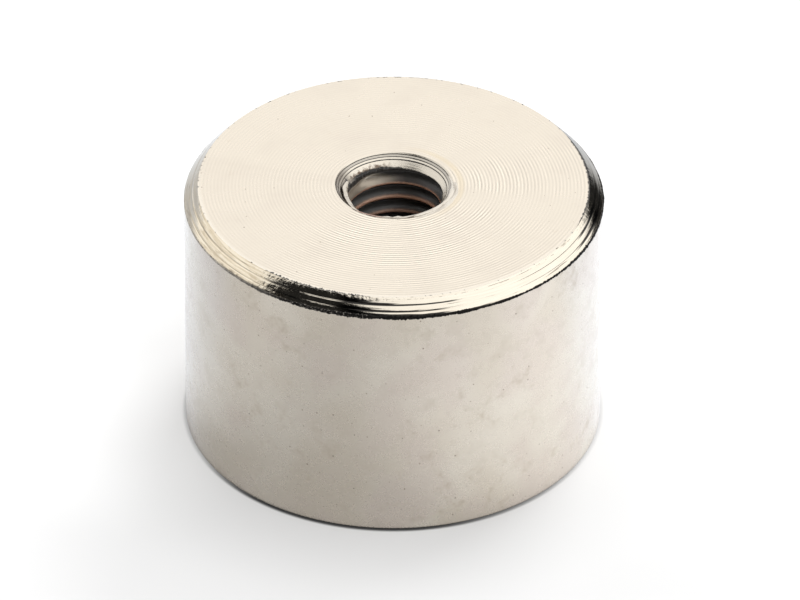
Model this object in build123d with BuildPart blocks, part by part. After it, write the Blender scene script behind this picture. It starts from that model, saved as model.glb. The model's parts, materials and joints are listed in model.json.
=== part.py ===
# Pot magnet with a blind threaded hole in its back.
#
# A turned steel pot holds a disc magnet in a ring of resin. The holding face, where the magnet and the
# pot's rim are ground flush, lies at z = 0 and faces down. The axis is +Z and leaves the threaded back.
# Everything is in millimetres.

import os
from math import radians, tan

from build123d import *

# Magnet: a plain ground disc
magnet_diameter = 16.5
magnet_thickness = 5.0
magnet_edge = 0.25  # bevel on both edges

# Resin: fills the gap between the magnet and the pot's wall, and ends short of the holding face
resin_gap = 1.0
resin_recess = 0.35
meniscus_sag = 0.12  # the cured surface is hollow, because the resin climbs both walls

# Pot: one turned piece
wall_thickness = 2.0
web_thickness = 1.6  # steel left between the cavity's floor and the tip of the drill
rim_edge = 0.2  # edge break, outside and inside the rim
back_edge_cuts = [(0.32, 0.36), (0.25, 0.27), (0.24, 0.28)]  # (inward, down) for each pass of the tool

# Threaded hole: M6, drilled to the thread's inner diameter, then countersunk just past its outer one
thread_diameter = 6.0
thread_pitch = 1.0
drill_depth = 6.5  # from the back face to the end of the full diameter
drill_point_angle = 118
countersink_angle = 90
countersink_margin = 0.1  # radius of the mouth past the thread's outer radius

# Sizes that follow
magnet_radius = magnet_diameter / 2
cavity_radius = magnet_radius + resin_gap
pot_radius = cavity_radius + wall_thickness
tap_drill_radius = (thread_diameter - thread_pitch) / 2
mouth_radius = thread_diameter / 2 + countersink_margin
drill_point_depth = tap_drill_radius / tan(radians(drill_point_angle / 2))
drill_end = magnet_thickness + web_thickness + drill_point_depth
pot_height = drill_end + drill_depth
back_face_radius = pot_radius - sum(inward for inward, down in back_edge_cuts)
back_edge_base = pot_height - sum(down for inward, down in back_edge_cuts)

# Pot: the half section is turned about Z, from the axis at the cavity's floor, round the rim and up the
# side to the chamfer's passes and the back face
with BuildPart() as pot:
    with BuildSketch(Plane.XZ):
        with BuildLine():
            Polyline(
                (0, pot_height),
                (0, magnet_thickness),
                (cavity_radius, magnet_thickness),
                (cavity_radius, rim_edge),
                (cavity_radius + rim_edge, 0),
                (pot_radius - rim_edge, 0),
                (pot_radius, rim_edge),
                (pot_radius, back_edge_base),
            )
            pass_start = Vector(pot_radius, back_edge_base)
            for inward, down in reversed(back_edge_cuts):
                pass_end = pass_start + Vector(-inward, down)
                Line(pass_start, pass_end)
                pass_start = pass_end
            Line(pass_start, (0, pot_height))
        make_face()
    revolve(axis=Axis.Z)

    # Tapping drill and countersink from the back face, then the cone that the drill's point leaves
    with Locations((0, 0, pot_height)):
        CounterSinkHole(
            radius=tap_drill_radius,
            counter_sink_radius=mouth_radius,
            depth=drill_depth,
            counter_sink_angle=countersink_angle,
        )
    with Locations((0, 0, drill_end)):
        Cone(
            bottom_radius=0,
            top_radius=tap_drill_radius,
            height=drill_point_depth,
            align=(Align.CENTER, Align.CENTER, Align.MAX),
            mode=Mode.SUBTRACT,
        )

# Magnet: a disc on the cavity's floor, with both edges bevelled, its lower face flush with the rim
with BuildPart() as magnet:
    Cylinder(magnet_radius, magnet_thickness, align=(Align.CENTER, Align.CENTER, Align.MIN))
    chamfer(magnet.edges().filter_by(GeomType.CIRCLE), magnet_edge)

# Resin ring: the cavity's section outside the magnet, with a hollow surface, less the magnet itself
with BuildPart() as resin_ring:
    with BuildSketch(Plane.XZ):
        with BuildLine():
            ThreePointArc(
                (magnet_radius, resin_recess),
                (magnet_radius + resin_gap / 2, resin_recess + meniscus_sag),
                (cavity_radius, resin_recess),
            )
            Polyline(
                (cavity_radius, resin_recess),
                (cavity_radius, magnet_thickness),
                (magnet_radius - magnet_edge, magnet_thickness),
                (magnet_radius, magnet_thickness - magnet_edge),
                (magnet_radius, resin_recess),
            )
        make_face()
    revolve(axis=Axis.Z)

pot.part.label = "pot"
magnet.part.label = "magnet"
resin_ring.part.label = "resin_ring"

os.makedirs("parts", exist_ok=True)
export_step(pot.part, "parts/pot.step")
export_step(magnet.part, "parts/magnet.step")
export_step(resin_ring.part, "parts/resin_ring.step")
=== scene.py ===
import json
import math

import bpy
import numpy as np
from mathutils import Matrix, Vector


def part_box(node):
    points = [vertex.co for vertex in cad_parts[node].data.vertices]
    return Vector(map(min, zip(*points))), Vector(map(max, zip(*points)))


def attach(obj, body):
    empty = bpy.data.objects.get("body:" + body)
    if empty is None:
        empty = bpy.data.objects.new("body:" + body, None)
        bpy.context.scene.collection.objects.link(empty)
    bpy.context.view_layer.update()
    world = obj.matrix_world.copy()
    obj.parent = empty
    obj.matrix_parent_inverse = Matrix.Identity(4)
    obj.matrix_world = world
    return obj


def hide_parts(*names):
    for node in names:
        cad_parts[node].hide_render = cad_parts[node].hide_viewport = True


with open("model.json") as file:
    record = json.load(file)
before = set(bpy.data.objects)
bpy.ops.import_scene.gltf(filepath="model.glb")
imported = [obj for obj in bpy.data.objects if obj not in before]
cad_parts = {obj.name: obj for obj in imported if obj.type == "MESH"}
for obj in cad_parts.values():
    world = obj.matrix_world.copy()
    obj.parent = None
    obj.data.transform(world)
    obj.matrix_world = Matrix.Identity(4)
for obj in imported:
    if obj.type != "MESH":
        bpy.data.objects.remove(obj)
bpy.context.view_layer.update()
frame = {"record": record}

mm = 0.001

# colours
white = (1.0, 1.0, 1.0)
black = (0.0, 0.0, 0.0)
dullNickel = (0.5, 0.465, 0.41)
copper = (0.76, 0.43, 0.29)
# near black, for plain dark marks and for painted shade and painted dark reflections
nearBlack = (0.012, 0.011, 0.010)
# dark of the hole: its grooves, and painted shade under the crests and deep down
boreDark = (0.050, 0.047, 0.042)


def smoothStep(value, start, end):
    # nought before start, one after end, and 3 t squared less 2 t cubed between them
    t = np.clip((value - start) / (end - start), 0.0, 1.0)
    return t * t * (3.0 - 2.0 * t)


def bump(value, centre, width):
    # a bell: e to the minus square of the distance from the centre, in widths
    return np.exp(-(((value - centre) / width) ** 2))


def fullTurn(steps):
    # evenly spaced angles, once round
    return np.linspace(0.0, 2 * np.pi, steps, endpoint=False)


def arcMask(angle, centre, half, soft):
    # one within half a span of the centre, nought past it, with soft ends; all in degrees
    away = np.abs((np.degrees(angle) - centre + 180.0) % 360.0 - 180.0)
    return 1.0 - smoothStep(away, half - soft / 2.0, half + soft / 2.0)


def ripple(angle, seed, lowest, highest):
    # cosines of whole multiples of the angle, so it closes on itself, each with a random phase and a
    # height that falls with the root of its multiple, scaled to a spread of one
    rng = np.random.default_rng(seed)
    waves = np.arange(lowest, highest + 1)
    heights = rng.normal(size=waves.size) / np.sqrt(waves)
    phases = rng.uniform(0.0, 2.0 * np.pi, waves.size)
    curve = heights @ np.cos(np.outer(waves, angle) + phases[:, None])
    return curve / curve.std()


class Value:
    # the answer of a node: plus, minus, times and divide on it make Math nodes
    def __init__(self, socket):
        self.socket = socket
        self.tree = socket.id_data

    def __add__(self, other):
        return calc("ADD", self, other)

    def __radd__(self, other):
        return calc("ADD", other, self)

    def __sub__(self, other):
        return calc("SUBTRACT", self, other)

    def __rsub__(self, other):
        return calc("SUBTRACT", other, self)

    def __mul__(self, other):
        return calc("MULTIPLY", self, other)

    def __truediv__(self, other):
        return calc("DIVIDE", self, other)


def addNode(tree, kind, inputs=None, **settings):
    made = tree.nodes.new(kind)
    for name, value in settings.items():
        setattr(made, name, value)
    for key, value in (inputs or {}).items():
        if isinstance(value, Value):
            tree.links.new(value.socket, made.inputs[key])
        else:
            made.inputs[key].default_value = value
    return made


def answer(tree, kind, inputs=None, output=0, **settings):
    return Value(addNode(tree, kind, inputs, **settings).outputs[output])


def calc(operation, *values):
    tree = next(value.tree for value in values if isinstance(value, Value))
    return answer(tree, "ShaderNodeMath", dict(enumerate(values)), operation=operation)


def vectorCalc(operation, *vectors, output=0):
    inputs = dict(enumerate(vectors))
    return answer(vectors[0].tree, "ShaderNodeVectorMath", inputs, output, operation=operation)


def separate(vector):
    return [Value(part) for part in addNode(vector.tree, "ShaderNodeSeparateXYZ", {0: vector}).outputs]


def combine(*parts):
    return answer(parts[0].tree, "ShaderNodeCombineXYZ", dict(enumerate(parts)))


def ramp(value, start, end, low=0.0, high=1.0, kind="SMOOTHSTEP"):
    inputs = {"Value": value, "From Min": start, "From Max": end, "To Min": low, "To Max": high}
    return answer(value.tree, "ShaderNodeMapRange", inputs, interpolation_type=kind)


def noise(vector, scale, detail=2.0, roughness=0.5, distortion=0.0):
    inputs = {"Vector": vector, "Scale": scale, "Detail": detail, "Roughness": roughness}
    return answer(vector.tree, "ShaderNodeTexNoise", {**inputs, "Distortion": distortion})


def band(value, centre, half, soft):
    # one within half a width of the centre and nought past it, with soft ends
    away = calc("ABSOLUTE", value - centre)
    return ramp(away, half - soft / 2, half + soft / 2, 1.0, 0.0)


def sector(turn, centre, half, soft):
    # one near a direction round the axis and nought away from it, by the cosine of the angle between
    near = calc("COSINE", turn - math.radians(centre))
    return ramp(near, math.cos(math.radians(half + soft / 2)), math.cos(math.radians(half - soft / 2)))


def mixColour(factor, low, high):
    low, high = (c if isinstance(c, Value) else (*c, 1.0) for c in (low, high))
    return answer(factor.tree, "ShaderNodeMix", {0: factor, 6: low, 7: high}, 2, data_type="RGBA")


def paint(colour, *layers):
    # each layer is how much of it shows, and its own colour
    for share, layer in layers:
        colour = mixColour(share, colour, layer)
    return colour


def newMaterial(name):
    made = bpy.data.materials.new(name)
    made.use_nodes = True
    made.node_tree.nodes.clear()
    return made, made.node_tree


def turnedMaterial(name):
    # a material, and the place on the turned piece in millimetres: the plain vector, the distance
    # from the axis and the height; and the angle round the axis
    material, tree = newMaterial(name)
    place = answer(tree, "ShaderNodeTexCoord", output="Object")
    inMm = vectorCalc("MULTIPLY", place, (1000.0, 1000.0, 1000.0))
    x, y, height = separate(inMm)
    return material, inMm, calc("SQRT", x * x + y * y), height, calc("ARCTAN2", y, x)


def finishSurface(colour, roughness, relief, deep, coat=0.5, metallic=1.0):
    # relief is the height of the bumps, and deep how tall they are in metres
    tree = colour.tree
    normal = answer(tree, "ShaderNodeBump", {"Strength": 1.0, "Distance": deep, "Height": relief})
    inputs = {"Base Color": colour, "Metallic": metallic, "Roughness": roughness, "Normal": normal}
    if coat:
        inputs.update({"Coat Weight": coat, "Coat Roughness": 0.15, "Coat IOR": 1.5})
    addNode(tree, "ShaderNodeOutputMaterial", {0: answer(tree, "ShaderNodeBsdfPrincipled", inputs)})


def specks(pattern, scale, size, share):
    # small round spots on a flat pattern, one to a cell and only in a share of the cells
    inputs = {"Vector": pattern, "Scale": scale}
    cells = addNode(pattern.tree, "ShaderNodeTexVoronoi", inputs, voronoi_dimensions="2D").outputs
    chance = addNode(pattern.tree, "ShaderNodeSeparateColor", {0: Value(cells["Color"])}).outputs
    spot = (Value(chance[1]) + 0.25) * (size * scale)
    inside = calc("LESS_THAN", Value(cells["Distance"]), spot)
    return inside * calc("LESS_THAN", Value(chance[0]), share)


def onRings(radius, height, angle):
    # corners from distance to the axis, height and angle round it
    return np.stack([radius * np.cos(angle), radius * np.sin(angle), height], -1).reshape(-1, 3)


def ringFaces(rows, size, start=0, closed=False):
    # four-sided faces between each ring and the next, or from the last to the first too if closed
    row = np.arange(rows if closed else rows - 1)[:, None]
    here = np.arange(size)
    after = (here + 1) % size
    ring, nextRing = start + row * size, start + (row + 1) % rows * size
    return np.stack([ring + here, nextRing + here, nextRing + after, ring + after], -1).reshape(-1, 4)


def newObject(name, corners, faces, materials, slots=None, smooth=True):
    mesh = bpy.data.meshes.new(name)
    mesh.from_pydata(corners.tolist(), [], faces)
    for material in materials:
        mesh.materials.append(material)
    if slots is not None:
        mesh.polygons.foreach_set("material_index", slots.astype(np.int32))
    mesh.polygons.foreach_set("use_smooth", np.full(len(faces), smooth))
    mesh.update()
    made = bpy.data.objects.new(name, mesh)
    bpy.context.scene.collection.objects.link(made)
    return made


camera = {
    "lens": 450.0,
    "distance": 539.4,  # from the middle of the magnet, millimetres
    "elevation": 34.92,
    "roll": 0.2,
    "frameWidth": 800,  # pixels
    "frameHeight": 600,
    "middle": (393.4, 297.2),  # where the middle of the magnet falls in the frame, pixels
}


def makeCamera(settings, height):
    data = bpy.data.cameras.new("camera")
    data.lens = settings["lens"]
    data.clip_end = 10.0  # metres
    data.shift_x = (settings["frameWidth"] / 2 - settings["middle"][0]) / settings["frameWidth"]
    data.shift_y = (settings["middle"][1] - settings["frameHeight"] / 2) / settings["frameWidth"]
    made = bpy.data.objects.new("camera", data)
    bpy.context.scene.collection.objects.link(made)
    rise = math.radians(settings["elevation"])
    reach = settings["distance"] * mm
    made.location = (0.0, -reach * math.cos(rise), height / 2 + reach * math.sin(rise))
    made.rotation_euler = (math.pi / 2 - rise, 0.0, 0.0)
    made.rotation_euler.rotate_axis("Z", math.radians(settings["roll"]))
    bpy.context.scene.camera = made


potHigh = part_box("pot")[1]
makeCamera(camera, potHigh[2])

studio = {
    "skyLeft": 1.215,
    "skyRight": 1.63,
    "skyAcross": (-0.9, 0.9),
    "dark": 0.02,
    "below": (-0.05, -0.2, 0.0, 0.8),  # light under the table: from, to, and how much at each
    "leftHorizon": 0.72,
    "leftHorizonAt": 150.0,  # degrees round from +X
    "leftSpan": (0.35, 0.65),  # cosines of how far from there it fades
    "horizon": (6.5, 11.5),  # degrees up, where the dark horizon gives way
    "gapAt": 219.5,  # the dark gap between the lamps, degrees round
    # its upper edge: from and to this many degrees aside, it climbs or falls between these heights
    "gapLeft": (-41.0, -18.0, -10.0, 62.0),
    "gapRight": (0.0, 142.0, 67.0, 0.0),
    "gapSoft": 1.5,
    "gapFoot": (22.0, 27.0),  # it starts between these heights
    "leftTint": (0.96, 1.0, 1.09),
    "tableReach": (0.035, 0.115),  # the table ends between these distances, as the metal sees it, and painted room light shows past it
    "lampAt": (60.0, 28.0),  # the soft lamp that throws the shadow to the front left
    "lampDistance": 0.6,
    "lampSize": 0.45,
    "lampPower": 3.75,
}

table = {
    "size": 3.0,  # metres from the middle to the edge
    "open": 0.01114,  # it is open under the pot, so that the foot can be seen from below
    "paper": 0.5,  # how much light the table gives back
    "glowTurn": 50.0,  # painted light: the metal sees the table glow brighter on this side, degrees round from +X
    # from and to, in metres, and how much at each
    "glow": (-0.025, 0.015, 0.0, 0.47),
    "glowEnd": (0.020, 0.050, 1.0, 0.1),
    "lift": (0.0125, 0.019, 0.265, 0.345),  # painted light that makes the table near white to the camera, less of it near the pot
    "contact": (0.01127, 0.01150),  # a painted contact shadow: the dark line where the pot stands, metres from the axis
    "contactFront": (-0.004, -0.009, 0.3, 0.9),
    "contactRight": (0.001, 0.010, 1.0, 0.5),
    # painted light: the metal sees the table a little brighter in front, away from the pot
    "fill": (0.014, 0.021, 0.0, 0.085),
    "fillAcross": (0.0, 0.022),
    "fillBack": (-0.014, -0.005),
    # a painted second soft shadow in front and a painted pool of light on the left: place, reach and how
    # much
    "shade": ((0.014, -0.021), (0.004, 0.017), -0.14),
    "pale": ((-0.0150, -0.0030), (0.003, 0.010), 0.075),
    "cool": (0.98, 1.015, 1.07),  # painted cool light on the table behind the pot, as the metal sees it
    "coolFrom": (-0.008, 0.003),
    "dim": 0.31,  # painted shade: the metal sees the table darker behind on the right
    "dimFrom": (0.021, 0.028),
    "dimAcross": (-0.004, 0.008),
    "dimEnd": (0.036, 0.046),
    "dimNear": (0.0285, 0.0325, 0.17),  # darker still nearer than this, metres and by how much
    "nearLeft": ((-0.0125, 0.001), (0.0, 0.006), 0.09),  # painted light, brighter beside the pot on the left
    "farRight": (0.016, 0.026, 0.09),  # painted light, brighter beyond this in front on the right, and by how much
}


def direction(turn, rise):
    turn, rise = math.radians(turn), math.radians(rise)
    return (math.cos(rise) * math.cos(turn), math.cos(rise) * math.sin(turn), math.sin(rise))


def towards(ray, turn):
    # cosine of the angle between the ray and a level direction
    return vectorCalc("DOT_PRODUCT", ray, direction(turn, 0.0), output="Value")


def makeStudio(settings):
    # the camera sees plain white; the metal sees a sky that is brighter on the right, a dark horizon
    # and a dark gap between the lamps
    world = bpy.data.worlds.new("studio")
    bpy.context.scene.world = world
    world.use_nodes = True
    tree = world.node_tree
    tree.nodes.clear()
    ray = answer(tree, "ShaderNodeTexCoord", output="Generated")
    x, _, z = separate(ray)
    sky = ramp(x, *settings["skyAcross"], settings["skyLeft"], settings["skyRight"])
    leftCos = towards(ray, settings["leftHorizonAt"])
    horizon = ramp(leftCos, *settings["leftSpan"], settings["dark"], settings["leftHorizon"])
    rise = ramp(z, *(math.sin(math.radians(up)) for up in settings["horizon"]))
    light = sky * rise + horizon * (1.0 - rise)
    beside, ahead = (towards(ray, settings["gapAt"] + turn) for turn in (90.0, 0.0))
    aside = calc("DEGREES", calc("ARCTAN2", beside, ahead))
    climb = calc("DEGREES", calc("ARCSINE", z))
    left, right = (ramp(aside, *settings[name], kind="LINEAR") for name in ("gapLeft", "gapRight"))
    over = climb - calc("MINIMUM", left, right)
    gap = ramp(over, -settings["gapSoft"], settings["gapSoft"], 1.0, 0.0)
    gap = gap * ramp(climb, *settings["gapFoot"])
    light = calc("MAXIMUM", light * (1.0 - gap), settings["dark"])
    light = calc("MAXIMUM", light, ramp(z, *settings["below"]))
    seen = answer(tree, "ShaderNodeLightPath", output="Is Camera Ray")
    strength = light * (1.0 - seen) + seen
    low = ramp(leftCos, *settings["leftSpan"]) * (1.0 - rise)
    tint = mixColour(low, white, settings["leftTint"])
    shade = answer(tree, "ShaderNodeBackground", {"Color": tint, "Strength": strength})
    addNode(tree, "ShaderNodeOutputWorld", {"Surface": shade})


def whiteTable(settings):
    # paper that the camera sees lifted near white by painted light, with painted shadow near the pot;
    # the metal sees a painted glow on one side, painted cool light and painted shade behind, and it
    # ends where painted room light begins
    material, tree = newMaterial("whiteTable")
    place = answer(tree, "ShaderNodeTexCoord", output="Object")
    away = vectorCalc("LENGTH", place, output="Value")
    rays = addNode(tree, "ShaderNodeLightPath").outputs
    toCamera, toMetal = Value(rays["Is Camera Ray"]), Value(rays["Is Glossy Ray"])
    x, y, _ = separate(place)

    def near(spot, reach, change):
        return ramp(vectorCalc("DISTANCE", place, (*spot, 0.0), output="Value"), *reach, change, 0.0)

    # painted cool light on the table behind the pot and far on the right, seen by the metal
    behind = ramp(y, *settings["coolFrom"]) * toMetal
    *farFrom, farMore = settings["farRight"]
    farRight = ramp(x, 0.0, farFrom[0]) * ramp(y, 0.0, -0.01)
    farRight = farRight * ramp(away, *farFrom) * toMetal
    tint = mixColour(calc("MAXIMUM", behind, farRight), white, settings["cool"])
    shade = settings["paper"]
    colour = mixColour(behind, (shade, shade, shade), [shade * part for part in settings["cool"]])
    # painted contact shadow: the paper is mixed to black in a thin ring round the foot, more in front,
    # less on the right
    paintedDark = (1.0 - ramp(away, *settings["contact"])) * ramp(y, *settings["contactFront"])
    paintedDark = paintedDark * ramp(x, *settings["contactRight"])
    paper = answer(tree, "ShaderNodeBsdfDiffuse", {"Color": mixColour(paintedDark, colour, black)})
    # painted light on the table that only the metal sees
    glow = ramp(towards(place, settings["glowTurn"]), *settings["glow"])
    glow = glow * ramp(away, *settings["glowEnd"])
    front = ramp(x, *settings["fillAcross"], 1.0, 0.0) * ramp(y, *settings["fillBack"], 1.0, 0.0)
    fill = front * ramp(away, *settings["fill"]) + farRight * farMore
    fill = fill + near(*settings["nearLeft"])
    glow = (glow + fill) * toMetal
    # painted light and painted shadow on the table, seen by the camera
    lift = ramp(away, *settings["lift"]) + near(*settings["shade"]) + near(*settings["pale"])
    added = (glow + lift * toCamera) * (1.0 - paintedDark)
    extra = answer(tree, "ShaderNodeEmission", {"Color": tint, "Strength": added})
    bright = answer(tree, "ShaderNodeAddShader", {0: paper, 1: extra})
    # past its end the metal sees painted room light, a painted reflection of the studio's horizon
    leftCos = towards(vectorCalc("NORMALIZE", place), studio["leftHorizonAt"])
    roomLight = ramp(leftCos, *studio["leftSpan"], studio["dark"], studio["leftHorizon"])
    room = answer(tree, "ShaderNodeEmission", {"Color": (*white, 1.0), "Strength": roomLight})
    past = toMetal * ramp(away, *studio["tableReach"])
    # painted shade on the table that the metal sees behind on the right, mixed toward unlit black
    dim = ramp(y, *settings["dimFrom"]) * ramp(x, *settings["dimAcross"])
    dim = dim * ramp(y, *settings["dimEnd"], settings["dim"], 0.5 * settings["dim"])
    *nearFrom, nearer = settings["dimNear"]
    dim = dim * (ramp(y, *nearFrom, 1.0 + nearer / settings["dim"], 1.0) * toMetal)
    unlit = answer(tree, "ShaderNodeEmission", {"Color": (*black, 1.0)})
    shown = answer(tree, "ShaderNodeMixShader", {0: dim, 1: bright, 2: unlit})
    mix = answer(tree, "ShaderNodeMixShader", {0: past, 1: shown, 2: room})
    addNode(tree, "ShaderNodeOutputMaterial", {"Surface": mix})
    return material


def makeFloor(settings):
    # flat rings round the axis, each a fixed share wider than the last
    steps, rings = 96, 24
    reach = np.geomspace(settings["open"], settings["size"], rings)[:, None]
    corners = onRings(reach, np.zeros((rings, steps)), fullTurn(steps))
    faces = ringFaces(rings, steps).tolist()
    floor = newObject("floor", corners, faces, [whiteTable(settings)], smooth=False)


def makeLamp(settings):
    data = bpy.data.lights.new("softLamp", "AREA")
    data.shape = "DISK"
    data.size = settings["lampSize"]
    data.energy = settings["lampPower"]
    lamp = bpy.data.objects.new("softLamp", data)
    bpy.context.scene.collection.objects.link(lamp)
    turn, rise = (math.radians(a) for a in settings["lampAt"])
    lamp.location = np.array(direction(*settings["lampAt"])) * settings["lampDistance"]
    lamp.rotation_euler = (math.pi / 2 - rise, 0.0, turn + math.pi / 2)
    lamp.visible_glossy = False


makeStudio(studio)
makeFloor(table)
makeLamp(studio)
print("camera, studio and floor made")

mounts = {mount["name"]: mount for mount in frame["record"]["mounts"]}
threadMount = mounts["thread"]
drillRadius = threadMount["dims"]["r_mm"]
wallMiddle = threadMount["pos_m"][2] / mm
wallLength = threadMount["dims"]["length_mm"]
potRadius = potHigh[0] / mm
potHeight = potHigh[2] / mm
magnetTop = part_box("magnet")[1][2] / mm
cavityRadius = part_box("resin_ring")[1][0] / mm
mouthRadius = drillRadius + potHeight - (wallMiddle + wallLength / 2)
drillEnd = wallMiddle - wallLength / 2

bore = {
    "threadRadius": 3.0,
    "pitch": 0.93,
    "crestLow": 1.615,  # depth of the first full crest's lower edge, at the back, millimetres
    "pointAngle": 118.0,
    "wornAbove": 0.14,  # the crests are worn round this far at their upper edge, and at their lower
    "wornBelow": 0.02,
    "fadeOut": (108.0, 150.0),  # degrees round, where the first groove fades
    "fadeIn": (-90.0, -50.0),
    "faint": 0.1,
    "shelf": 0.30,  # no thread above this depth
    "topRows": (0.0, 0.40, 0.014),  # depths from, to and step: the countersink
    "lipRows": (0.40, 0.80, 0.025),  # where the thread breaks into the countersink
    "threadRows": (0.80, 4.6, 0.05),
    "drillRows": (4.6, 6.4, 0.3),
    "fine": 540,  # steps round the countersink
    "steps": [(0.06, 0.04), (0.165, 0.03), (0.265, 0.035)],  # depth and height of each turned step
    "tear": 0.018,  # how far the countersink's lower edge is torn, millimetres
    "tornAt": (125.0, 40.0, 30.0),  # degrees round, half span, softness
    "tearSeed": 11,
    "wide": (95.0, 85.0, 60.0, 0.10),  # the mouth is wider here: degrees round, half span, softness, by
    "wideDepth": 0.5,
    "turned": (0.13, 0.05, 0.02),  # a grey band: depth, half width, softness
    "sootAt": [(0.085, 0.020), (0.18, 0.017), (0.275, 0.023)],  # depth and half width of each dark step
    "grimeFrom": (0.38, 0.53),  # depths between which each comes in
    "notchFrom": (0.30, 0.38),
    "edgeFrom": (0.48, 0.55),
    "litFrom": (1.6, 2.1),
    "sootFrom": (2.2, 4.4),
    "drillFrom": (4.6, 5.0),
    "grimeAt": (132.0, 30.0, 30.0),  # degrees round, half span, softness, and so on below
    "darkAt": (197.0, 46.0, 22.0),
    "notchAt": (161.0, 4.5, 3.0),
    "edgeLowerAt": (38.0, 42.0, 40.0),
    "litAt": (155.0, 45.0, 75.0),  # painted light: the thread is painted lit grey here, not dark
    "paleLineAt": (145.0, 20.0, 50.0),
    # painted shade: how deep the dark above the first groove goes, and how soft its end is: from and
    # to these degrees round, and how much at each
    "darkAbove": [(95.0, 165.0, 1.32, 0.93), (70.0, 140.0, 0.16, 0.11)],
    # shares of a pitch above a crest's lower edge: copper ends, by the first crest and below it;
    # the groove's dark comes in; and the painted shade under the next crest
    "copperTo": (0.17, 0.30),
    "grooveFrom": (0.12, 0.36),
    "underCrest": (0.90, 0.99),
}


def threadRadiusAt(angle, depth, settings):
    # distance from the axis of the thread's wall: crests a quarter of a pitch wide at the drill's
    # radius, flanks at thirty degrees that meet them in a worn curve (half of x plus the root of x
    # squared plus wear squared), and a flat root; a crest sinks one pitch in each turn anticlockwise,
    # and the first groove fades out on the left
    pitch = settings["pitch"]
    degrees = (np.degrees(angle) + 90.0) % 360.0 - 90.0
    crestMiddle = settings["crestLow"] - pitch / 8 + pitch * (degrees - 90.0) / 360.0
    turns = (depth - crestMiddle) / pitch
    offset = ((turns + 0.5) % 1.0 - 0.5) * pitch
    past = np.abs(offset) - pitch / 8
    wornBelow, wornAbove = settings["wornBelow"], settings["wornAbove"]
    worn = wornBelow + (wornAbove - wornBelow) * smoothStep(-offset, -0.06, 0.06)
    rise = (past + np.sqrt(past * past + worn * worn)) / 2.0 / math.tan(math.radians(30.0))
    rise = np.clip(rise, 0.0, settings["threadRadius"] - drillRadius)
    start = smoothStep(degrees, *settings["fadeIn"])
    faint = settings["faint"]
    firstGroove = start * (1.0 - (1.0 - faint) * smoothStep(degrees, *settings["fadeOut"]))
    secondGroove = faint + (1.0 - faint) * start
    share = np.where(turns < 0.0, firstGroove, np.where(turns < 1.0, secondGroove, 1.0))
    share = np.where(turns < -1.0, 0.0, share)
    return drillRadius + rise * share * (depth > settings["shelf"])


def countersinkRadiusAt(angle, depth, settings):
    # a cone at forty-five degrees, cut in steps: upright for a little at each step, and shallower
    # than the cone between one step and the next, so each ends back on the cone; its mouth is
    # wider on one side
    *wideAt, wider = settings["wide"]
    wide = wider * arcMask(angle, *wideAt) * (1.0 - smoothStep(depth, 0.0, settings["wideDepth"]))
    radius = mouthRadius - depth + wide
    starts = [step[0] for step in settings["steps"]]
    ends = starts[1:] + [starts[-1] + 0.4]
    for (start, tall), end in zip(settings["steps"], ends):
        upright = np.clip(depth - start, 0.0, tall)
        shallow = smoothStep(depth, start + tall, end) * tall
        radius = radius + upright - shallow
    return radius


def boreRows(settings, angle, start, stop, step):
    # the wall of the hole from deep to shallow as rows of (distance from the axis, height): at each
    # depth it is whichever is wider, the thread or the countersink; the last answer is one where the
    # thread is
    depths = np.arange(stop, start + step / 2, -step)[:, None]
    thread = threadRadiusAt(angle[None, :], depths, settings)
    torn = settings["tear"] * ripple(angle, settings["tearSeed"], 12, 90)
    torn = torn * arcMask(angle, *settings["tornAt"])
    cone = countersinkRadiusAt(angle[None, :], depths, settings)
    wall = np.maximum(thread + torn * (depths < 0.9), cone)
    isThread = thread + torn > cone
    return (wall, potHeight - depths + 0.0 * wall), isThread


edge = {
    "cuts": [(0.278, 0.297), (0.232, 0.263), (0.242, 0.287)],  # inward and down, each pass of the tool
    "bulge": 2.5,  # degrees by which each cut is flatter at its top and steeper at its foot
    "rows": 21,
    # place across, depth, and its share at the left and at the front left; each starts with a small step
    "grooves": [(0.35, 0.006, 0.8, 0.0), (0.66, 0.005, 0.4, 0.0)],
    # painted dark reflection drawn out along the foot of each cut: place across, its height in
    # millimetres where it starts, the degrees round of its start and end, and over how many it falls off
    "drawnOut": [(0.37, 0.28, 254.5, 288.0, 12.0), (0.67, 0.18, 254.5, 284.0, 15.0),
                 (1.0, 0.30, 256.0, 304.0, 40.0), (0.41, 0.15, 352.0, 336.5, -16.0),
                 (0.72, 0.24, 352.0, 333.0, -9.0)],
    "leftAt": (182.0, 22.0, 24.0),  # degrees round, half span, softness
    "frontLeftAt": (232.0, 12.0, 8.0),
    "stepAbove": 0.032,  # shares of the chamfer's width: the step's steep side and its long side
    "stepBelow": 0.05,
    "narrow": 0.06,  # the chamfer is cut less deep on this side
    "narrowAt": (235.0, 50.0, 60.0),
    "calmAt": (2.0, 21.0, 14.0),  # degrees round where the grooves are faint, half span, softness
    "scratches": 26,
    "scratchDepth": (0.001, 0.006),
    "ragged": 0.004,  # millimetres
    "seed": 5,
    "warmAt": (210.0, 22.0, 20.0),  # where each tone lies, the first a painted warm light: degrees round, half span, softness
    "smearAt": (212.0, 30.0, 16.0),
    "linesAt": (215.0, 24.0, 16.0),
    # where the chamfer is black its grooves are painted black as well, a painted dark reflection
    "blackAt": [(238.0, 5.0, 5.0), (352.0, 8.0, 6.0)],
    "dotsAt": (285.0, 52.0, 20.0),
    "borderAt": (10.0, 22.0, 14.0),
    "grimeAt": (225.0, 9.0, 10.0),
    "crumbledAt": (237.0, 13.0, 14.0),
    "dots": (0.075, 0.008, 0.012),  # depth, half width, softness
    "borderTo": (0.03, 0.07),  # depths between which each comes in or ends
    "grimeFrom": (0.76, 0.86),
    "brokenTo": (0.02, 0.20),
}


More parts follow.
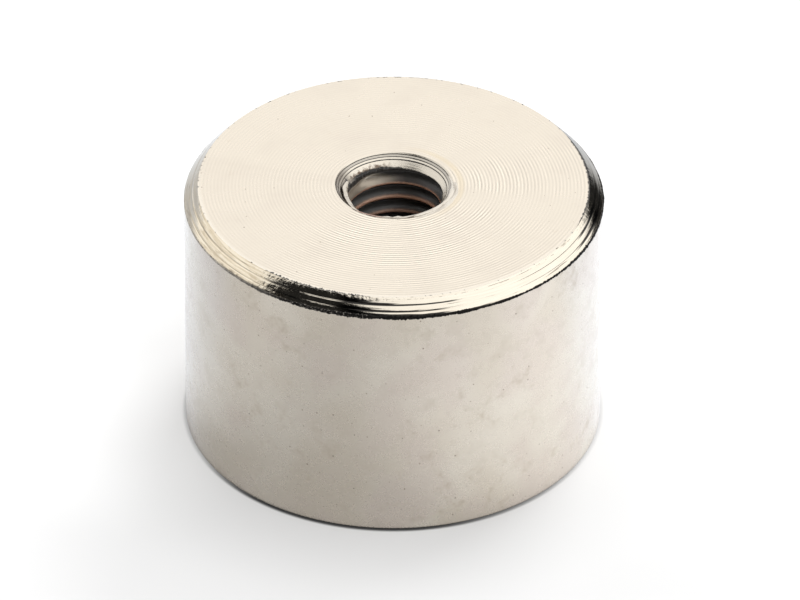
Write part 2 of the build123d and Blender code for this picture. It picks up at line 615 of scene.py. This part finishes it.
def cutDrop(settings, angle):
    # how far down the chamfer reaches: the cuts' whole depth, a little less on one side
    whole = sum(cut[1] for cut in settings["cuts"])
    return whole * (1.0 - settings["narrow"] * arcMask(angle, *settings["narrowAt"]))


def edgeRows(settings, angle):
    # the chamfer: cuts from the back face's edge down to the side, each a flat parabola; between the
    # cuts it is sunk by a smooth step that is steep above and long below, and by bells across it for
    # scratches that each run part of the way round; its two borders waver by ripples
    inward = np.array([cut[0] for cut in settings["cuts"]])
    down = np.array([cut[1] for cut in settings["cuts"]])
    drops = np.concatenate([[0.0], np.cumsum(down)])
    radii = potRadius - inward.sum() + np.concatenate([[0.0], np.cumsum(inward)])
    # evenly spaced rows, with more of them at each step
    above, below = settings["stepAbove"], settings["stepBelow"]
    close = np.concatenate([np.linspace(-above, 0.0, 5), np.linspace(0.0, below, 6)[1:]])
    t = [np.linspace(0.0, 1.0, settings["rows"]), [0.006]] + [close + g[0] for g in settings["grooves"]]
    t = np.unique(np.round(np.concatenate(t), 4))[:, None]
    radius = np.interp(t, drops / down.sum(), radii)
    drop = t * cutDrop(settings, angle)
    rng = np.random.default_rng(settings["seed"])
    # within a cut the bulge is four times its height times s times one less s
    across = np.interp(t, drops / down.sum(), np.arange(len(down) + 1.0))
    which = np.minimum(across.astype(int), len(down) - 1)
    tall = math.radians(settings["bulge"]) * np.hypot(inward, down) / 4.0
    bulge = 4.0 * tall[which] * (across - which) * (1.0 - across + which)
    sunk = 0.0 * t * angle
    for place, deep, left, frontLeft in settings["grooves"]:
        waver = 1.0 + 0.3 * ripple(angle, rng.integers(1000), 2, 30)
        waver = waver * (1.0 - (1.0 - left) * arcMask(angle, *settings["leftAt"]))
        waver = waver * (1.0 - (1.0 - frontLeft) * arcMask(angle, *settings["frontLeftAt"]))
        cut = smoothStep(t, place - above, place) * (1.0 - smoothStep(t, place, place + below))
        sunk = sunk + deep * waver * cut
    degrees = np.degrees(angle)
    for _ in range(settings["scratches"]):
        place = rng.uniform(0.03, 0.97)
        deep = rng.uniform(*settings["scratchDepth"])
        wide = rng.uniform(0.012, 0.024)
        middle = rng.uniform(0.0, 360.0)
        reach = rng.uniform(8.0, 40.0)
        slide = rng.normal(0.0, 0.03)
        away = (degrees - middle + 180.0) % 360.0 - 180.0
        sunk = sunk + deep * bump(away, 0.0, reach) * bump(t, place + slide * away / reach, wide)
    sunk = sunk * (1.0 - arcMask(angle, *settings["calmAt"])) - bulge
    outward, upward = 0.746, 0.665  # which way the chamfer faces
    radius = radius - sunk * outward
    height = potHeight - drop - sunk * upward
    ragged = settings["ragged"] * ripple(angle, settings["seed"] + 1, 60, 400)
    radius = radius + ragged * bump(t, 0.0, 0.14)
    low = settings["ragged"] * ripple(angle, settings["seed"] + 4, 60, 400)
    height = height + low * bump(t, 1.0, 0.04)
    return radius, height


class Skin:
    # rows of rings, from a pole on the axis to another, kept as corners and faces
    def __init__(self):
        self.corners, self.faces, self.slots, self.count, self.last = [], [], [], 0, None

    def addFaces(self, faces, slot):
        self.faces.append(faces)
        self.slots.append(np.zeros(len(faces), int) + slot)

    def addPole(self, height, slot):
        pole = self.count
        self.corners.append(np.array([[0.0, 0.0, height]]))
        self.count += 1
        if self.last is None:
            self.pole = pole
        else:
            first, size = self.last
            here = np.arange(size)
            flat = np.full(size, pole)
            self.addFaces(np.stack([first + here, flat, flat, first + (here + 1) % size], -1), slot)

    def addRows(self, rows, angle, slot):
        # the slot is one number, or one for each corner
        radius, height = rows
        count, size = radius.shape
        slot = np.zeros((count, size), int) + slot
        start = self.count
        self.corners.append(onRings(radius, height, angle))
        self.count += count * size
        if self.last is None:
            here = np.arange(size)
            flat = np.full(size, self.pole)
            self.addFaces(np.stack([flat, start + here, start + (here + 1) % size, flat], -1), slot[0])
        else:
            faces = joinRings(*self.last, start, size)
            self.addFaces(faces, slot[0] if self.last[1] == size else slot[0, 0])
        self.addFaces(ringFaces(count, size, start), slot[:-1].ravel())
        self.last = (start + (count - 1) * size, size)

    def addPlain(self, points, angle, slot, wider=0.0):
        # one ring for each (distance from the axis, height)
        rows = np.array(points)
        one = np.ones_like(angle)
        self.addRows((rows[:, :1] * one + wider, rows[:, 1:] * one), angle, slot)


def joinRings(first, before, start, size):
    # faces between two rings whose steps are equal, or a few to one either way
    here = np.arange(min(before, size))
    after = (here + 1) % len(here)
    if before == size:
        return np.stack([first + here, start + here, start + after, first + after], -1)
    times = max(before, size) // len(here)
    few, many = (first, start) if before < size else (start, first)
    fine = [many + (times * here + step) % max(before, size) for step in range(times + 1)]
    middle = times // 2
    tips = [few + (here if step < middle else after) for step in range(times)]
    tris = list(zip(tips, fine, fine[1:]))
    tris.append((few + here, fine[middle], few + after))
    if before > size:
        tris = [(p, r, q) for p, q, r in tris]
    return np.concatenate([np.stack([p, q, r, r], -1) for p, q, r in tris])


def threadCut(settings):
    # copper crests, flanks painted lit grey on one side, and dark grooves, with painted shade under
    # each crest and deep in the hole; by how far a point is above its crest's lower edge, in pitches,
    # from nought to one
    material, inMm, _, height, turn = turnedMaterial("threadCut")
    depth = potHeight - height
    rough = noise(inMm, 6.0, 4.0, 0.6)
    wobble = (rough - 0.5) * 0.10
    below = (depth - settings["crestLow"]) / settings["pitch"]
    below = below + 0.25 - turn / (2 * math.pi)
    above = calc("FRACT", 8.0 - below)
    place = above + wobble
    deeper = ramp(below, -0.03, 0.03)
    # painted light and shade: the flanks are lit grey on this side and fade to dark deeper down
    lit = sector(turn, *settings["litAt"])
    lit = lit * ramp(depth, *settings["litFrom"], 1.0, 0.25)
    grey = mixColour(lit, (0.055, 0.046, 0.040), (0.54, 0.465, 0.37))
    copperTop = ramp(deeper, 0.0, 1.0, *settings["copperTo"])
    # each groove is dark; on the left the first one fades, and what is dark there is painted shade on
    # the part above
    dark = ramp(place, *settings["grooveFrom"]) * deeper
    (*start, startDeep, endDeep), (*softFrom, startSoft, endSoft) = settings["darkAbove"]
    darkAbove = ramp(turn, *(math.radians(a) for a in start), startDeep, endDeep, "LINEAR")
    darkSoft = ramp(turn, *(math.radians(a) for a in softFrom), startSoft, endSoft)
    higher = depth + wobble * 0.5
    early = ramp(higher, darkAbove - darkSoft, darkAbove, 1.0, 0.0)
    dark = calc("MAXIMUM", dark, early * (1.0 - deeper))
    # a painted highlight: a pale line just below the dark above the first groove, on the left
    line = band(higher, darkAbove + 0.03, 0.02, 0.03) * sector(turn, *settings["paleLineAt"])
    wall = paint(
        mixColour(ramp(place, 0.03, copperTop), copper, grey),
        (dark, boreDark),
        (line * 0.8, (0.72, 0.69, 0.64)),
        # painted shade under each crest, and darker deeper in the hole
        (ramp(above, *settings["underCrest"]), boreDark),
        (ramp(depth, *settings["sootFrom"], 0.0, 0.7), boreDark),
        (ramp(depth, *settings["drillFrom"]), (0.16, 0.15, 0.135)),
    )
    bright = answer(wall.tree, "ShaderNodeRGBToBW", {0: wall})
    finishSurface(wall, 0.45, rough, 0.00002, 0.15, ramp(bright, 0.04, 0.14, 0.0, 0.5))
    return material


def countersunk(settings):
    # a turned cone, dark in its steps, painted shade along its lower edge and on its left, and brown
    # grime at the back
    material, inMm, _, height, turn = turnedMaterial("countersunk")
    depth = potHeight - height
    rough = noise(inMm, 7.0, 4.0, 0.65)
    wavy = depth + (rough - 0.5) * 0.02
    lines = noise(combine(depth * 30.0, turn), 1.2, 3.0, 0.6)
    low = depth + (noise(inMm, 5.0, 4.0, 0.65) - 0.5) * 0.55
    darkPatch = ramp(low, *settings["grimeFrom"])
    # painted shade along the lower edge, where the first groove begins under it
    edge = depth + (rough - 0.5) * 0.2
    edge = edge - sector(turn, *settings["edgeLowerAt"]) * 0.08
    # painted shade on the left of the cone
    dark = mixColour(ramp(lines, 0.35, 0.65), (0.12, 0.100, 0.080), (0.26, 0.230, 0.19))
    colour = paint(
        mixColour(ramp(lines, 0.3, 0.7) * 0.5, (0.62, 0.565, 0.475), dullNickel),
        (band(depth, *settings["turned"]) * 0.45, (0.16, 0.15, 0.14)),
        *((band(wavy, place, half, 0.012) * 0.96, nearBlack) for place, half in settings["sootAt"]),
        (darkPatch * sector(turn, *settings["grimeAt"]), (0.10, 0.066, 0.042)),
        (ramp(edge, *settings["edgeFrom"]), nearBlack),
        (sector(turn, *settings["darkAt"]), dark),
        (sector(turn, *settings["notchAt"]) * ramp(low, *settings["notchFrom"]), nearBlack),
    )
    finishSurface(colour, 0.26, rough + lines, 0.000008)
    return material


faceTurning = {
    "ringPitch": 0.19,  # from one mark of the turning tool to the next, millimetres
    "ringDepth": 0.0000028,
    # degrees round, half span, softness and strength of each stretch where a painted sheen makes the
    # rings show
    "ringsAt": [(268.0, 38.0, 18.0, 0.27), (10.0, 14.0, 14.0, 0.15), (196.0, 24.0, 20.0, 0.02),
                (320.0, 14.0, 14.0, 0.14)],
    "roughness": 0.28,
    # yellowed round the hole: distance from the axis, half width and softness; then degrees round,
    # half span and softness
    "halo": (3.62, 0.16, 0.2),
    "haloAt": (12.0, 52.0, 50.0),
    "mouth": (3.135, 0.03, 0.02),  # brown along the mouth of the hole
    "mouthAt": (241.0, 17.0, 8.0),
    "rimAt": (255.0, 75.0, 30.0),
    "rimFrom": 10.30,  # the bright rim beside the chamfer
    "faceRadius": 10.498,
    "teeth": 45.0,  # dark teeth at the border, to the radian
    "biteDepth": (0.02, 0.20),
    "bittenAt": (246.0, 15.0, 6.0),
    "lineAt": (3.0, 22.0, 10.0),
    "lineWidth": 0.12,
}


def turnedFace(settings):
    # pale plated metal with rings left by the turning tool, rays, stains and a dark ragged border
    material, inMm, radius, _, turn = turnedMaterial("turnedFace")
    cloud = noise(inMm, 0.35, 3.0, 0.55)
    grain = noise(inMm, 5.0, 3.0, 0.6)
    wander = (grain - 0.5) * 0.06
    rings = calc("SINE", (radius + wander) * (2 * math.pi / settings["ringPitch"]))
    # the rings are real tool marks; how strongly they show in each direction round the axis is a painted
    # sheen
    strong = 0.04
    for place, half, soft, share in settings["ringsAt"]:
        strong = strong + sector(turn, place, half, soft) * share
    strong = strong * ramp(radius, 5.5, 8.5, 1.0, 0.5)
    strong = strong * ramp(noise(inMm, 0.9, 3.0), 0.3, 0.7, 0.55, 1.3)
    strong = strong * ramp(noise(combine(radius * 4.0, turn), 1.0, 2.0), 0.35, 0.65, 0.6, 1.3)
    plain = mixColour(ramp(cloud, 0.5, 0.75, 0.0, 0.4), (0.635, 0.572, 0.480), (0.597, 0.531, 0.454))
    # faint rays, each along a radius
    outward = vectorCalc("NORMALIZE", vectorCalc("MULTIPLY", inMm, (1.0, 1.0, 0.0)))
    rays = ramp(noise(outward, 2.2, 3.0, 0.6), 0.45, 0.70, 0.0, 0.45)
    stain = ramp(noise(inMm, 1.1, 4.0, 0.7), 0.60, 0.74) * 0.3
    stained = paint(plain, (rays, (0.585, 0.522, 0.440)), (stain, (0.56, 0.48, 0.38)))
    halo = band(radius + wander, *settings["halo"]) * sector(turn, *settings["haloAt"])
    mouth = band(radius, *settings["mouth"]) * sector(turn, *settings["mouthAt"])
    rim = ramp(radius + wander * 1.5, settings["rimFrom"], settings["rimFrom"] + 0.06, 0.0, 0.75)
    # short dark teeth bite into the border, and a thin dark line follows it on the right
    teeth = noise(combine(turn), settings["teeth"], 3.0, 0.7)
    bite = ramp(teeth, 0.38, 0.66, *settings["biteDepth"]) * sector(turn, *settings["bittenAt"])
    thin = ramp(teeth, 0.35, 0.65, 0.3 * settings["lineWidth"], settings["lineWidth"])
    bite = calc("MAXIMUM", bite, sector(turn, *settings["lineAt"]) * thin)
    outside = radius + (bite - settings["faceRadius"])
    colour = paint(
        vectorCalc("MULTIPLY", stained, 1.0 + rings * strong),
        (halo * 0.5, (0.62, 0.52, 0.36)),
        (mouth * ramp(grain, 0.35, 0.5), (0.06, 0.04, 0.03)),
        (specks(inMm, 0.75, 0.032, 0.30) * 0.8, (0.16, 0.11, 0.07)),
        (rim * sector(turn, *settings["rimAt"]), (0.70, 0.645, 0.555)),
        (ramp(outside, -0.015, 0.015, 0.0, 0.95), nearBlack),
    )
    rough = ramp(cloud, 0.3, 0.7, settings["roughness"] - 0.04, settings["roughness"] + 0.06)
    finishSurface(colour, rough, rings, settings["ringDepth"])
    return material


def cutEdge(settings):
    # drawn metal, painted warm light and smeared at the left, with painted dark reflection drawn out
    # along the foot of each cut
    material, inMm, _, height, turn = turnedMaterial("cutEdge")
    x, y, _ = separate(inMm)
    depth = potHeight - height
    streak = noise(combine(depth * 18.0, x * 0.5, y * 0.5), 1.0, 3.0, 0.55, 0.2)
    rough = noise(inMm, 3.2, 3.0, 0.62)
    # painted warm light on the left
    warm = mixColour(ramp(streak, 0.4, 0.6), (0.64, 0.55, 0.41), (0.77, 0.69, 0.55))
    smear = ramp(noise(combine(depth * 7.0, x, y), 0.9, 4.0, 0.65), 0.50, 0.68, 0.0, 0.6)
    tone = paint(
        mixColour(ramp(streak, 0.35, 0.65), (0.64, 0.580, 0.485), (0.68, 0.625, 0.53)),
        (sector(turn, *settings["warmAt"]), warm),
        (ramp(streak, 0.27, 0.33, 0.75, 0.0), (0.12, 0.10, 0.08)),
        (smear * sector(turn, *settings["smearAt"]), (0.44, 0.36, 0.25)),
    )
    # dark lines along the turned grooves, and where the cut is black its grooves are painted black too,
    # a painted dark reflection
    wavy = depth + (rough - 0.5) * 0.03
    whole = sum(cut[1] for cut in settings["cuts"])
    for groove in settings["grooves"]:
        line = band(wavy, groove[0] * whole, 0.012, 0.014) * sector(turn, *settings["linesAt"])
        line = line * ramp(streak, 0.42, 0.58, 0.35, 0.9)
        paintedDark = calc("MAXIMUM", *(sector(turn, *place) for place in settings["blackAt"]))
        paintedDark = paintedDark * band(depth, groove[0] * whole, 0.03, 0.02)
        tone = paint(tone, (line, (0.15, 0.12, 0.085)), (paintedDark * 0.85, nearBlack))
    uneven = (streak - 0.5) * 0.15
    # painted dark reflection drawn out along the foot of each cut
    for place, tall, start, end, fall in settings["drawnOut"]:
        ahead = calc("DEGREES", turn) + (360.0 - start)
        reach = calc("EXPONENT", ahead / (-fall)) * tall
        over = place * whole - depth
        top = over + uneven - reach
        drawn = ramp(top, -0.012, 0.012, 1.0, 0.0) * ramp(over, -0.02, -0.005)
        drawn = drawn * sector(turn, (start + end) / 2, abs(end - start) / 2, 5.0)
        tone = mixColour(drawn * 0.97, tone, nearBlack)
    # a broken dark line just under the upper border at the front, and a smeared one at the back right
    dots = band(wavy, *settings["dots"]) * sector(turn, *settings["dotsAt"])
    dots = dots * ramp(noise(inMm, 1.8, 3.0, 0.7), 0.48, 0.60, 0.0, 0.9)
    border = ramp(wavy, *settings["borderTo"], 0.9, 0.0) * sector(turn, *settings["borderAt"])
    # darker near the foot at the front left
    darkPatch = ramp(depth + rough * 0.25, *settings["grimeFrom"])
    darkPatch = darkPatch * sector(turn, *settings["grimeAt"]) * 0.9
    tone = paint(tone, (dots, (0.12, 0.10, 0.08)), (border, nearBlack), (darkPatch, (0.11, 0.09, 0.07)))
    # broken metal along the upper border and at the front left, drawn lines elsewhere
    broken = noise(inMm, 7.0, 3.0, 0.6) * ramp(depth, *settings["brokenTo"], 0.9, 0.0)
    crumbled = rough * ramp(sector(turn, *settings["crumbledAt"]), 0.0, 1.0, 0.3, 1.0)
    relief = streak * 0.34 + (crumbled + broken)
    finishSurface(tone, ramp(rough, 0.3, 0.7, 0.06, 0.12), relief, 0.000011, 0.2)
    return material


platedSide = {
    "roughness": 0.25,
    "stainScale": 0.9,  # brown stains to the millimetre
    "pitScale": 1.1,
}


def sideMetal(settings):
    # smooth plated metal with broad clouds, brown stains and small pits
    material, inMm, _, height, turn = turnedMaterial("platedSide")
    broad = noise(inMm, 0.16, 2.0, 0.5)
    pinkish = noise(inMm, 0.30, 2.0, 0.5)
    mottle = noise(inMm, settings["stainScale"], 5.0, 0.72)
    where = ramp(noise(inMm, 0.25, 2.0), 0.42, 0.60, 0.2, 1.0)
    pits = specks(combine(turn * potRadius, height), settings["pitScale"], 0.035, 0.4)
    colour = paint(
        mixColour(ramp(broad, 0.35, 0.65), (0.635, 0.575, 0.490), (0.70, 0.650, 0.570)),
        (ramp(pinkish, 0.42, 0.66, 0.0, 0.8), (0.640, 0.570, 0.505)),
        (ramp(mottle, 0.52, 0.72, 0.0, 0.55) * where, (0.47, 0.40, 0.31)),
        (pits * 0.7, (0.14, 0.10, 0.07)),
    )
    rough = ramp(mottle, 0.35, 0.7, settings["roughness"] - 0.03, settings["roughness"] + 0.10)
    relief = broad * 14.0 + noise(inMm, 6.0, 3.0, 0.6) * 0.4
    finishSurface(colour, rough, relief, 0.0000006)
    return material


grinding = {
    # pale and dark colour, and roughness
    "groundRim": ((0.62, 0.57, 0.49), (0.50, 0.455, 0.39), 0.26),
    "magnetMetal": ((0.52, 0.52, 0.51), (0.36, 0.36, 0.355), 0.30),
}


def groundMetal(name, settings):
    # fine straight lines, as a grinding wheel leaves them
    pale, dark, roughness = settings[name]
    material, inMm, *_ = turnedMaterial(name)
    lines = noise(vectorCalc("MULTIPLY", inMm, (0.25, 9.0, 1.0)), 1.0, 3.0, 0.6)
    cloud = noise(inMm, 0.35, 3.0, 0.6)
    colour = paint(
        mixColour(ramp(lines, 0.3, 0.7), dark, pale),
        (ramp(cloud, 0.52, 0.75, 0.0, 0.4), dark),
        (specks(inMm, 0.6, 0.05, 0.3) * 0.5, (0.13, 0.10, 0.08)),
    )
    rough = ramp(cloud, 0.3, 0.7, roughness - 0.04, roughness + 0.06)
    finishSurface(colour, rough, lines, 0.000003, 0.2)
    return material


resin = {
    "bubbles": (1.4, 0.09, 0.25),  # to the millimetre, their size, and how many cells have one
    "roughness": (0.30, 0.45),
}


def castResin(settings):
    # near black, a little cloudy, with small bubbles
    material, inMm, *_ = turnedMaterial("castResin")
    cloud = noise(inMm, 0.9, 3.0, 0.6)
    fine = noise(inMm, 6.0, 3.0, 0.6)
    colour = mixColour(ramp(cloud, 0.35, 0.65), (0.030, 0.029, 0.028), (0.052, 0.050, 0.047))
    bubbles = specks(inMm, *settings["bubbles"])
    colour = mixColour(bubbles, colour, (0.012, 0.012, 0.012))
    relief = cloud + fine * 0.2 - bubbles * 0.5
    rough = ramp(fine, 0.3, 0.7, *settings["roughness"])
    finishSurface(colour, rough, relief, 0.00002, 0.0, 0.0)
    return material


pot = {
    "coarse": 270,  # steps round the hole and the plain walls
    "fine": 1080,  # steps round the chamfer, where the edges are ragged
    "rimEdge": 0.1,
    "thin": 0.02,  # a ring this near each edge keeps it crisp
    "mouthRings": (0.01, 0.05),  # plain rings: how far outside the hole
    "faceRings": (4.0, 7.0),  # distances from the axis
    "borderRings": (0.1, 0.003),  # how far inside the chamfer
    "sideRings": (0.1, 1.0),  # how far below the chamfer
    "sideMiddle": 5.0,  # height above the table
}


def makePot(settings, boreSettings, edgeSettings):
    # a profile carried round the axis, from the drill's point up the hole, across the back face, down
    # the side and under the rim to the floor of the cavity
    coarse, middle, fine = map(fullTurn, (settings["coarse"], boreSettings["fine"], settings["fine"]))
    skin = Skin()
    tip = drillEnd - drillRadius / math.tan(math.radians(boreSettings["pointAngle"] / 2))
    thread, sink, face, chamfer, side, under = range(6)
    skin.addPole(tip, thread)
    skin.addPlain([(drillRadius, drillEnd)], coarse, thread)
    angles = {"drillRows": coarse, "threadRows": coarse, "lipRows": middle, "topRows": middle}
    for name, angle in angles.items():
        rows, isThread = boreRows(boreSettings, angle, *boreSettings[name])
        skin.addRows(rows, angle, np.where(isThread, thread, sink))
    *wideAt, wider = boreSettings["wide"]
    mouthWide = wider * arcMask(middle, *wideAt)
    faceRadius = potRadius - sum(cut[0] for cut in edgeSettings["cuts"])
    base = potHeight - sum(cut[1] for cut in edgeSettings["cuts"])
    rim, inner, thin = settings["rimEdge"], cavityRadius, settings["thin"]
    mouth = [(mouthRadius + more, potHeight) for more in settings["mouthRings"]]
    skin.addPlain(mouth, middle, face, mouthWide)
    skin.addPlain([(radius, potHeight) for radius in settings["faceRings"]], coarse, face)
    skin.addPlain([(faceRadius - less, potHeight) for less in settings["borderRings"]], fine, face)
    skin.addRows(edgeRows(edgeSettings, fine), fine, chamfer)
    near, far = settings["sideRings"]
    skin.addPlain([(potRadius, base - thin), (potRadius, base - near)], fine, side)
    heights = (base - far, settings["sideMiddle"], rim + thin, rim)
    skin.addPlain([(potRadius, height) for height in heights], coarse, side)
    foot = [(potRadius - rim, 0.0), (potRadius - rim - thin, 0.0), (inner + rim + thin, 0.0)]
    cavity = [(inner + rim, 0.0), (inner, rim), (inner, rim + thin), (inner, magnetTop - thin)]
    skin.addPlain(foot + cavity + [(inner, magnetTop), (inner - thin, magnetTop)], coarse, under)
    skin.addPole(magnetTop, under)
    materials = [threadCut(boreSettings), countersunk(boreSettings), turnedFace(faceTurning),
                 cutEdge(edgeSettings), sideMetal(platedSide), groundMetal("groundRim", grinding)]
    # the corners that fall together at a pole or a triangle are counted once
    faces = [list(dict.fromkeys(corners)) for corners in np.concatenate(skin.faces).tolist()]
    corners = np.concatenate(skin.corners) * mm
    made = newObject("potBody", corners, faces, materials, np.concatenate(skin.slots))
    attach(made, "root")
    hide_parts("pot")
    print("pot made, faces", len(faces))


makePot(pot, bore, edge)

lip = {
    "steps": 2160,
    "around": 10,
    "radius": 0.075,  # of the rolled edge under the chamfer, millimetres
    "least": 0.25,  # its share of that at the back
    "thick": (262.0, 26.0, 24.0, 0.6),  # thicker here: degrees round, half span, softness, share
    "frontAt": (292.0, 84.0, 60.0),
    "proud": 0.01,
    "rise": 0.02,
    "wavering": (0.13, 0.10, 0.12, 0.10),  # shares of its size: broad, fine, torn up and to and fro
    # the rolled edge is a painted dark reflection here
    "darkAt": (305.0, 78.0, 30.0),
    "bareAt": (248.0, 14.0, 10.0),
    "seed": 71,
}


def rolledMetal(settings):
    # painted dark reflection at the front, with lighter flecks, grey behind
    material, inMm, _, _, turn = turnedMaterial("rolledMetal")
    lump = noise(inMm, 4.0, 4.0, 0.7)
    flecks = ramp(noise(inMm, 12.0, 3.0, 0.7), 0.58, 0.66) * sector(turn, *settings["bareAt"])
    darkFront = mixColour(flecks, nearBlack, (0.4, 0.37, 0.33))
    grey = mixColour(ramp(lump, 0.42, 0.58), (0.22, 0.20, 0.175), (0.42, 0.385, 0.335))
    colour = mixColour(sector(turn, *settings["darkAt"]), grey, darkFront)
    finishSurface(colour, 0.45, lump, 0.00001, 0.1)
    return material


def makeLip(settings, edgeSettings):
    # a torn edge rolled over the foot of the chamfer: a small circle carried once round the axis and
    # closed on itself, whose size, place and flatness waver
    steps, around, seed = settings["steps"], settings["around"], settings["seed"]
    angle, t = fullTurn(steps), fullTurn(around)
    broad, fine, torn, swaying = settings["wavering"]
    grow = arcMask(angle, *settings["frontAt"])
    size = settings["radius"] * (settings["least"] + (1.0 - settings["least"]) * grow)
    *thickAt, thicker = settings["thick"]
    size = size * (1.0 + thicker * arcMask(angle, *thickAt))
    tornUp = np.maximum(ripple(angle, seed + 3, 60, 400) - 1.1, 0.0)
    waver = 1.0 + broad * ripple(angle, seed, 4, 60) + fine * ripple(angle, seed + 1, 90, 600)
    size = size * np.clip(waver + torn * tornUp, 0.25, 1.9)
    sway = swaying * size * ripple(angle, seed + 2, 60, 500)
    middle = potRadius + settings["proud"] - 0.55 * settings["radius"]
    height = potHeight - cutDrop(edgeSettings, angle) + settings["rise"] + sway
    radius = middle + size[:, None] * 0.75 * np.cos(t)
    corners = onRings(radius, height[:, None] + size[:, None] * np.sin(t), angle[:, None]) * mm
    faces = ringFaces(steps, around, closed=True).tolist()
    made = newObject("rolledEdge", corners, faces, [rolledMetal(settings)])
    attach(made, "root")
    print("rolled edge made")


makeLip(lip, edge)

burrMetal = {
    "roughness": 0.27,
    "depth": 0.000009,
    "calmAt": (195.0, 34.0, 24.0),  # degrees round, half span, softness
    "copperAt": (243.0, 12.0, 14.0),
}

burrShape = {
    "steps": 260,
    "around": 20,
    "wavering": (0.09, 0.025),  # shares of its width, broad and fine
    "lifting": (0.10, 0.03),  # and of its height
    "folding": 0.16,
    "leant": 0.35,
    "seed": 31,
}

burrs = {
    # degrees round, distance from the axis, height above the back face, half width, half height, tilt
    "crestLip": [(156, 2.62, -0.42, 0.02, 0.02, 30), (163, 2.60, -0.34, 0.11, 0.07, 30),
                 (180, 2.60, -0.31, 0.15, 0.08, 30), (197, 2.62, -0.30, 0.145, 0.08, 30),
                 (210, 2.69, -0.30, 0.13, 0.07, 30), (222, 2.78, -0.28, 0.11, 0.05, 30),
                 (245, 2.91, -0.20, 0.02, 0.01, 30)],
    "mouthBurr": [(222, 3.09, 0.0, 0.01, 0.01, 0), (240, 3.09, 0.0, 0.035, 0.02, 0),
                  (262, 3.09, 0.0, 0.05, 0.035, 0), (285, 3.10, 0.01, 0.07, 0.045, 0),
                  (305, 3.12, 0.01, 0.085, 0.06, 0), (325, 3.15, 0.01, 0.11, 0.07, 0),
                  (350, 3.17, 0.01, 0.13, 0.07, 0), (364, 3.14, -0.01, 0.09, 0.05, 0),
                  (378, 3.09, -0.04, 0.02, 0.01, 0)],
    "foldBurr": [(282, 3.20, -0.02, 0.01, 0.01, 0), (300, 3.28, -0.01, 0.09, 0.035, 0),
                 (322, 3.36, -0.01, 0.14, 0.045, 0), (345, 3.38, -0.01, 0.14, 0.045, 0),
                 (360, 3.33, -0.01, 0.10, 0.03, 0), (374, 3.24, -0.03, 0.02, 0.01, 0)],
    "lipBurr": [(256, 3.06, 0.0, 0.01, 0.01, -20), (264, 3.05, 0.01, 0.07, 0.05, -20),
                (269, 3.08, 0.01, 0.04, 0.03, -20), (274, 3.04, 0.02, 0.08, 0.06, -20),
                (283, 3.08, 0.0, 0.01, 0.01, -20)],
}


def tornMetal(settings):
    # folded metal, painted shade in its hollows and painted light on its high parts, calmer on the left
    # and bare copper at the front left
    material, _, radius, height, turn = turnedMaterial("tornMetal")
    fold = noise(combine(radius * 7.0, height * 7.0, turn * 3.0), 1.0, 2.0, 0.5, 0.3)
    # the colour follows the pattern of the bumps: painted shade where it is low, painted light where it
    # is high
    colour = paint(
        mixColour(ramp(fold, 0.30, 0.40), (0.16, 0.13, 0.10), (0.46, 0.415, 0.355)),
        (ramp(fold, 0.42, 0.58), (0.57, 0.525, 0.455)),
        (sector(turn, *settings["calmAt"]) * 0.8, (0.49, 0.445, 0.375)),
        (sector(turn, *settings["copperAt"]) * 0.7, (0.40, 0.22, 0.17)),
    )
    finishSurface(colour, settings["roughness"], fold, settings["depth"])
    return material


def burrStrip(name, material, path, seed, settings):
    # a lens of torn metal carried round the axis: at each angle its middle, half width, half height
    # and tilt lie on straight lines between the path's rows, its outline is an ellipse leant to one
    # side, and its size wavers; both ends close to a point
    steps, around = settings["steps"], settings["around"]
    rows = np.array(path, float)
    degrees = np.linspace(rows[0, 0], rows[-1, 0], steps)
    along = [np.interp(degrees, rows[:, 0], column)[:, None] for column in rows[:, 1:].T]
    radius, height, wide, tall, tilt = along
    angle = np.radians(degrees)
    broad, fine = settings["wavering"]
    waver = 1.0 + broad * ripple(angle, seed, 5, 24) + fine * ripple(angle, seed + 1, 30, 90)
    broad, fine = settings["lifting"]
    lift = 1.0 + broad * ripple(angle, seed + 2, 5, 24) + fine * ripple(angle, seed + 3, 30, 90)
    t = fullTurn(around)
    across = wide * waver[:, None] * np.cos(t)
    phase = 1.5 * ripple(angle, seed + 4, 2, 8)[:, None]
    folds = 1.0 + settings["folding"] * np.cos(2.0 * np.cos(t) * np.pi + phase)
    above = tall * lift[:, None] * np.sin(t) * (1.0 - settings["leant"] * np.cos(t)) * folds
    lean = np.radians(tilt)
    r = radius + across * np.cos(lean) - above * np.sin(lean)
    z = height + across * np.sin(lean) + above * np.cos(lean)
    ends = [list(range(around)), list(range(steps * around - 1, (steps - 1) * around - 1, -1))]
    faces = ringFaces(steps, around).tolist() + ends
    made = newObject(name, onRings(r, z, angle[:, None]) * mm, faces, [material])
    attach(made, "root")


torn = tornMetal(burrMetal)
for count, (name, path) in enumerate(burrs.items()):
    path = [(turn, away, potHeight + height, *shape) for turn, away, height, *shape in path]
    burrStrip(name, torn, path, burrShape["seed"] + 10 * count, burrShape)
print("burrs made")

finishes = {"magnet": groundMetal("magnetMetal", grinding), "resin_ring": castResin(resin)}
for node, material in finishes.items():
    for slot in bpy.data.objects[node].material_slots:
        slot.material = material
print("magnet and resin finished")

bpy.context.scene.view_settings.view_transform = "Standard"
